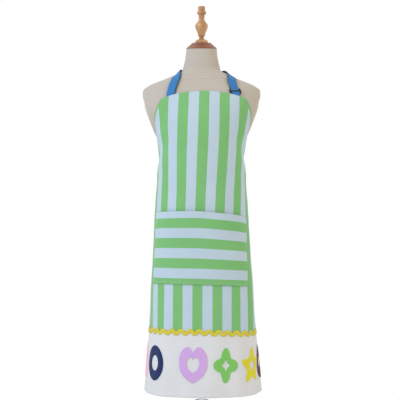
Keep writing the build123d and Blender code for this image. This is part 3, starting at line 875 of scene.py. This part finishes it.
def stitching():
    """All the topstitching in pale thread."""
    work = Stitches()
    on_cloth = CLOTH / 2 + 0.05
    for side in (-1, 1):
        work.run(side_edge(side, 9.5, HEM + 2, BIB_TOP - BIB_ARCH - 2), on_cloth)
    across = np.arange(-BIB_HALF + 3, BIB_HALF - 2, 4.0)
    for inset in (2.5, BIB_FACING):
        work.run(np.stack([across, bib_edge(across) - inset], -1), on_cloth)

    def on_pocket(u, z):
        return pocket_puff(u, z) + on_cloth

    wide = np.array([-POCKET_HALF + 2, POCKET_HALF - 2])
    for height in (POCKET_TOP - 2.5, POCKET_TOP - HEM_DEPTH + 1.5, POCKET_BOTTOM + 2.5, POCKET_BOTTOM + 8.0):
        work.run(resample(np.stack([wide, [height, height]], -1), 8.0), on_pocket)
    tall = np.array([POCKET_BOTTOM + 2, POCKET_TOP - 2])
    for side in (-1, 1):
        for inset in (2.5, 8.5):
            place = side * (POCKET_HALF - inset)
            work.run(resample(np.stack([[place, place], tall], -1), 8.0), on_pocket)
    low = np.array([-HALF_WIDTH + 3, HALF_WIDTH - 3])
    for height in (HEM + 2.5, HEM + 17.0):
        work.run(resample(np.stack([low, [height, height]], -1), 8.0), on_cloth)
    work.make("topstitching", MATERIALS["thread_white"])


RIC_RAC_PERIOD = 27.5
RIC_RAC_SWING = 4.6
RIC_RAC_WIDTH = 10.5


def ric_rac():
    """The wavy yellow tape over the seam between stripes and border."""
    along = np.arange(-HALF_WIDTH + 4, HALF_WIDTH - 3, 1.25)
    phase = 2 * np.pi * along / RIC_RAC_PERIOD
    wave = RIC_RAC_SWING * (np.sin(phase) + 0.12 * np.sin(3 * phase))
    path = np.stack([along, BORDER_TOP + wave], -1)
    piece = cloth_ribbon("ric_rac_tape", path, RIC_RAC_WIDTH, 1.3, 1.2, dome=0.5, columns=7)
    return dress(piece, MATERIALS["yellow"], "form", "trim_yellow", "ric_rac_trim")


# ---- Appliques: plain shapes given by their radius in each direction ---------------------------------
def ring_shape(angle):
    return np.ones_like(angle)


def heart_shape(angle):
    turned = angle - np.pi / 2
    lobes = 0.78 + 0.22 * np.abs(np.sin(turned)) ** 0.8
    notch = 0.30 * np.exp(-((np.arctan2(np.sin(turned), np.cos(turned)) / 0.32) ** 2))
    low = np.arctan2(np.sin(angle + np.pi / 2), np.cos(angle + np.pi / 2))
    point = 0.30 * np.exp(-np.abs(low) / 0.42)
    return lobes - notch + point


def flower_shape(angle):
    return 0.80 + 0.20 * np.cos(4 * angle)


def star_shape(angle):
    turned = (angle - np.pi / 2) * 5
    return 0.74 + 0.20 * np.cos(turned) + 0.06 * np.cos(2 * turned)


def drop_shape(angle):
    low = np.arctan2(np.sin(angle - np.pi / 2), np.cos(angle - np.pi / 2))
    return 0.80 + 0.34 * np.exp(-np.abs(low) / 0.38)


# Place along the cloth, name, shape, material, width, and the inner cut-out's share.
APPLIQUES = [
    (-318, "star_left", star_shape, "sun", 78, 0.34),
    (-226, "drop_left", drop_shape, "pink", 66, 0.36),
    (-137, "ring", ring_shape, "navy", 76, 0.44),
    (-11, "heart", heart_shape, "lilac", 84, 0.42),
    (84, "flower", flower_shape, "leaf", 74, 0.30),
    (174, "star", star_shape, "sun", 80, 0.34),
    (258, "drop", drop_shape, "wine", 66, 0.36),
    (328, "ring_right", ring_shape, "navy", 44, 0.40),
]


def applique(name, place, shape, width, hole, grow, lift, thick):
    """A flat cut-out with a hole of its own shape, lying on the border."""
    angle = np.arange(120) * 2 * np.pi / 120
    outline = np.stack([np.cos(angle), np.sin(angle)], -1) * shape(angle)[:, None]
    outline -= (outline.max(0) + outline.min(0)) / 2
    outline /= (outline.max(0) - outline.min(0)) / 2
    outer = outline * (width / 2, APPLIQUE_HEIGHT / 2)
    inner = outer * hole
    middle = HEM + APPLIQUE_FOOT + APPLIQUE_HEIGHT / 2

    def moved(points, distance):
        length = np.linalg.norm(points, axis=1, keepdims=True)
        return points * (1 + distance / length)

    outer, inner = moved(outer, grow), moved(inner, -grow)
    shares = np.array([0.0, 0.06, 0.25, 0.5, 0.75, 0.94, 1.0])[:, None, None]
    flat = inner + (outer - inner) * shares
    crown = lift + np.array([-0.35, 0.0, 0.08, 0.1, 0.08, 0.0, -0.35])[:, None] * (1 if grow == 0 else 0)
    u, z = flat[..., 0] + place, flat[..., 1] + middle
    points = cloth.at(u, z, np.broadcast_to(crown, u.shape))
    uvs = np.stack([u, z], -1).reshape(-1, 2)
    faces = grid_faces(len(shares), len(angle), closed_columns=True, flip=True)
    return thicken(new_object(name, points.reshape(-1, 3), faces, uvs), thick)


def appliques():
    """The coloured shapes and the white felt that shows as a rim round each."""
    backs = []
    for place, name, shape, material, width, hole in APPLIQUES:
        backs.append(applique("backing", place, shape, width, hole, 1.8, 0.95, 0.7))
        piece = applique("applique_" + name, place, shape, width, hole, 0.0, 1.75, 1.1)
        dress(piece, MATERIALS[material], "form", "applique_felt")
    dress(join("applique_backings", backs), MATERIALS["backing"], "form", "applique_felt", "appliques")


# ---- Straps and ties ----------------------------------------------------------------------------------
def ribbon(name, points, normals, width, thick, material, slot, *replaced, narrow=None, held=None):
    """A flat tape along points, with a normal at each, in millimetres."""
    points, normals = np.array(points, float), unit(np.array(normals, float))
    tangent = unit(np.gradient(points, axis=0))
    across = unit(np.cross(normals, tangent))
    normals = np.cross(tangent, across)
    columns = np.linspace(-0.5, 0.5, 7)
    share = np.ones(len(points)) if narrow is None else np.array(narrow, float)
    offset = columns[None, :] * (width * share)[:, None]
    verts = points[:, None, :] + across[:, None, :] * offset[..., None]
    crown = 0.25 * (1 - (2 * columns) ** 2)
    verts = verts + normals[:, None, :] * crown[None, :, None]
    travelled = np.concatenate([[0], np.cumsum(np.linalg.norm(np.diff(points, axis=0), axis=1))])
    uvs = np.stack(np.broadcast_arrays(columns[None, :] * width, travelled[:, None]), -1).reshape(-1, 2)
    piece = new_object(name, verts.reshape(-1, 3), grid_faces(len(points), len(columns)), uvs)
    thicken(piece, thick)
    dress(piece, MATERIALS[material], "form", slot, *replaced)
    return piece


def run_ends(lift):
    """The two ends of the strap's straight stretch, as the design places them, and the way out of it."""
    rows = np.array(TORSO, float)
    ends, ways = [], []

    def place(turn, level):
        sizes = [np.interp(level, rows[:, 0], rows[:, k]) + COVER for k in (1, 2, 3)]
        x, y = ring(*sizes, np.array([turn]))
        return np.array([x[0], y[0], level])

    for turn, level in ((31.0, 1376.0), (32.5, 1312.0)):
        across = place(turn + 2, level) - place(turn - 2, level)
        upward = place(turn, level + 4) - place(turn, level - 4)
        way = unit(np.cross(across, upward))
        ends.append(place(turn, level) + way * (lift + RUN_RAISE))
        ways.append(way)
    return ends[0], ends[1], unit(ways[0] + ways[1])


def strap_path(lift, end_lift):
    """The neck strap's points and normals, smoothly from one bib corner to the other."""
    route = [(i, a, z) for i, (a, z) in enumerate(STRAP_ROUTE)]
    at = np.linspace(0, len(route) - 1, 260)
    turns, heights = smooth(route, at).T
    sink = smoothstep(1332, 1318, heights)
    normals = torso_normal(turns, heights)
    points = torso_at(turns, heights) + normals * (lift + (end_lift - lift) * sink)[:, None]
    for _ in range(STRAP_SMOOTHINGS):
        points[1:-1] = (points[:-2] + 2 * points[1:-1] + points[2:]) / 4
        normals[1:-1] = unit(normals[:-2] + 2 * normals[1:-1] + normals[2:])
    away = unit(points * (1, 1, 0))
    stand = STRAP_TWIST * smoothstep(1380, 1412, heights)[:, None]
    normals = unit(normals * (1 - stand) + away * stand)
    points = points + stand * (STRAP_RISE * np.array([0, 0, 1]) - STRAP_TUCK * away)
    # Where the slider runs, the strap keeps exactly to the straight stretch.
    top, bottom, out = run_ends(lift)
    on_run = (at > len(route) / 2) & (heights < 1384) & (heights > 1312)
    share = (1376 - heights) / (1376 - 1312)
    chord = top + (bottom - top) * share[:, None] + out * ((end_lift - lift) * sink)[:, None]
    blend = np.where(on_run, smoothstep(1384, 1376, heights), 0)[:, None]
    points = points * (1 - blend) + chord * blend
    normals = unit(normals * (1 - blend) + out * blend)
    return points, normals


def straps():
    """The neck strap, its dark lining, which is partly a painted shadow along the strap's edge, and the
    slider.
    """
    points, normals = strap_path(STRAP_LIFT, 1.6)
    blue = ("blue", "strap_blue", "neck_strap")
    ribbon("neck_tape", points, normals, STRAP_WIDTH, STRAP_THICK, *blue, held="stretched")
    # The dark lining lies under the blue strap and peeks out at its edge: partly the strap's dark reverse
    # side, partly a painted shadow.
    points, normals = strap_path(LINING_LIFT - 0.2, 0.6)
    tangent = unit(np.gradient(points, axis=0))
    points = points + np.cross(normals, tangent) * LINING_SHIFT
    dark = ("dark", "strap_dark", "strap_lining")
    ribbon("lining_and_painted_shadow_tape", points, normals, LINING_WIDTH, LINING_THICK, *dark, held="stretched")
    source = nodes["strap_slider"]
    slider = bpy.data.objects.new("slider_frame", source.data.copy())
    bpy.context.scene.collection.objects.link(slider)
    bevel = slider.modifiers.new("Rounding", "BEVEL")
    bevel.width = 0.5 * MM
    bevel.segments = 3
    bevel.limit_method = "ANGLE"
    apply_modifiers(slider)
    slider.data.shade_smooth()
    dress(slider, MATERIALS["gloss"], "slider", "slider_plastic", "strap_slider")


TIE_HEIGHT = WING - 15.0
TIE_THICK = 1.2
BOW_WIDTH = 24


def ties():
    """The ties across the small of the back, and their flat bow."""
    half, front, back = smooth(APRON, TIE_HEIGHT)[0, :3]
    for name, side in (("left_waist_tie", -1), ("right_waist_tie", 1)):
        turns = side * np.linspace(146, 176, 26)
        x, y = ring(half + 5.2, front + 5.2, back + 5.2, turns)
        points = np.stack([x, y, np.full(len(turns), TIE_HEIGHT)], -1)
        step = np.gradient(points, axis=0)
        normals = np.cross(step, (0, 0, 1)) * side
        tape = name.replace("waist_tie", "tie_tape")
        ribbon(tape, points, normals, STRAP_WIDTH, TIE_THICK, "blue", "strap_blue", name, held="stretched")
    behind = back + 7.0
    turn = np.linspace(0, 2 * np.pi, 49)
    for side in (-1, 1):
        reach = side * (8 + 41 * (1 - np.cos(turn)))
        y = behind + 6 + 5.5 * np.sin(turn) * (1 - 0.3 * np.cos(turn))
        droop = TIE_HEIGHT + 3 - 0.16 * np.abs(reach) - 0.0012 * reach**2
        points = np.stack([reach, y, droop], -1)
        step = np.gradient(points, axis=0)
        normals = np.cross(step, (0, 0, 1))
        narrow = 0.55 + 0.45 * smoothstep(0, 38, np.abs(reach))
        hand = "left" if side < 0 else "right"
        look = ("blue", "strap_blue")
        ribbon(f"bow_loop_{hand}", points, normals, BOW_WIDTH, TIE_THICK, *look, narrow=narrow, held="folded")
        drop = np.linspace(0, 1, 40)
        x = side * (6 + 16 * drop + 3 * np.sin(5 * drop))
        tail_z = TIE_HEIGHT - 6 - 225 * drop
        sizes = smooth(APRON, tail_z)[:, 2] + 6.5
        away = smoothstep(0.0, 0.15, drop) * 3
        points = np.stack([x, behind + 4 + 0 * drop, tail_z], -1)
        points[:, 1] = np.maximum(points[:, 1] - 3 * drop, sizes - 2) + away + 1.5 * np.sin(7 * drop + side)
        normals = np.stack([0.18 * np.sin(6 * drop + side), np.ones(40), 0.1 * np.cos(7 * drop)], -1)
        narrow = 0.6 + 0.4 * smoothstep(0, 0.2, drop)
        ribbon(f"bow_tail_{hand}", points, normals, BOW_WIDTH, TIE_THICK, *look, narrow=narrow, held="hung")
    wrap = np.linspace(0, 2 * np.pi, 41)
    depth = behind + 6 + 8.5 * np.cos(wrap)
    points = np.stack([1.5 * np.sin(wrap), depth, TIE_HEIGHT + 13.5 * np.sin(wrap)], -1)
    normals = np.stack([wrap * 0, np.cos(wrap), np.sin(wrap)], -1)
    narrow = 1 - 0.25 * np.cos(wrap) ** 2
    ribbon("bow_knot", points, normals, 20, 1.6, "blue", "strap_blue", "tie_bow", narrow=narrow)


# ---- The stand and the turned woodwork ---------------------------------------------------------------
CARRIED_OVER = {
    "base_plate": "paint",
    "base_feet": "rubber",
    "pole_flange": "paint",
    "flange_screws": "steel",
    "lower_tube": "chrome",
    "clamp_collar": "plastic",
    "clamp_screw": "steel",
    "clamp_knob": "plastic",
    "inner_tube": "chrome",
    "tube_plug": "plastic",
    "pole_socket": "paint",
    "socket_screws": "steel",
    "bottom_board": "board",
    "neck_block": "board",
    "neck_cap": "cap",
    "finial": "finial",
    "finial_stud": "steel",
}


def carried_over():
    """Gives the design's own hard pieces their materials."""
    for node, material in CARRIED_OVER.items():
        for holder in nodes[node].material_slots:
            holder.material = MATERIALS[material]


# ---- Floor, light and camera --------------------------------------------------------------------------
def studio():
    """A pale floor, even white surroundings, a cool lamp high on the left and a warm one on the right."""
    bpy.ops.mesh.primitive_circle_add(vertices=96, radius=1.9, fill_type="NGON", location=(0, 0, -0.0005))
    floor = bpy.context.object
    floor.name = "floor"
    pale = Nodes("pale_floor", 0.7)
    floor.data.materials.append(pale.finish(worn(pale, (0.86, 0.86, 0.86), 0.02, 3.0)))
    world = bpy.data.worlds.new("studio")
    world.use_nodes = True
    world.node_tree.nodes["Background"].inputs["Color"].default_value = (1, 1, 1, 1)
    world.node_tree.nodes["Background"].inputs["Strength"].default_value = 1.0
    bpy.context.scene.world = world
    for name, place, size, power, colour in (
        ("key", (-2.2, -1.7, 2.7), 1.3, 56.0, (0.72, 0.86, 1.0)),
        ("warm", (2.2, -1.4, 2.3), 1.3, 17.0, (1.0, 0.76, 0.36)),
    ):
        lamp = bpy.data.lights.new(name, "AREA")
        lamp.shape = "DISK"
        lamp.size = size
        lamp.energy = power
        lamp.color = colour
        holder = bpy.data.objects.new(name, lamp)
        holder.location = place
        aim = Vector((0, 0, 1.3)) - Vector(place)
        holder.rotation_euler = aim.to_track_quat("-Z", "Y").to_euler()
        bpy.context.scene.collection.objects.link(holder)


CAMERA_DISTANCE = 2.3
CAMERA_HEIGHT = 0.81
CAMERA_PITCH = 5.0
FOCAL_PIXELS = 730.0
FRAME_PIXELS = 400.0


def camera():
    data = bpy.data.cameras.new("camera")
    data.sensor_width = 36.0
    data.lens = 36.0 * FOCAL_PIXELS / FRAME_PIXELS
    holder = bpy.data.objects.new("camera", data)
    holder.location = (-0.005, -CAMERA_DISTANCE, CAMERA_HEIGHT)
    holder.rotation_euler = (math.radians(90 + CAMERA_PITCH), 0, 0)
    bpy.context.scene.collection.objects.link(holder)
    bpy.context.scene.camera = holder


camera()
studio()
carried_over()
torso_cover()
form_seams()
arm_plates()
striped_panel()
border_panel()
pocket()
facings()
stitching()
ric_rac()
appliques()
straps()
ties()
bpy.context.scene.view_settings.view_transform = "Standard"

bpy.context.view_layer.update()
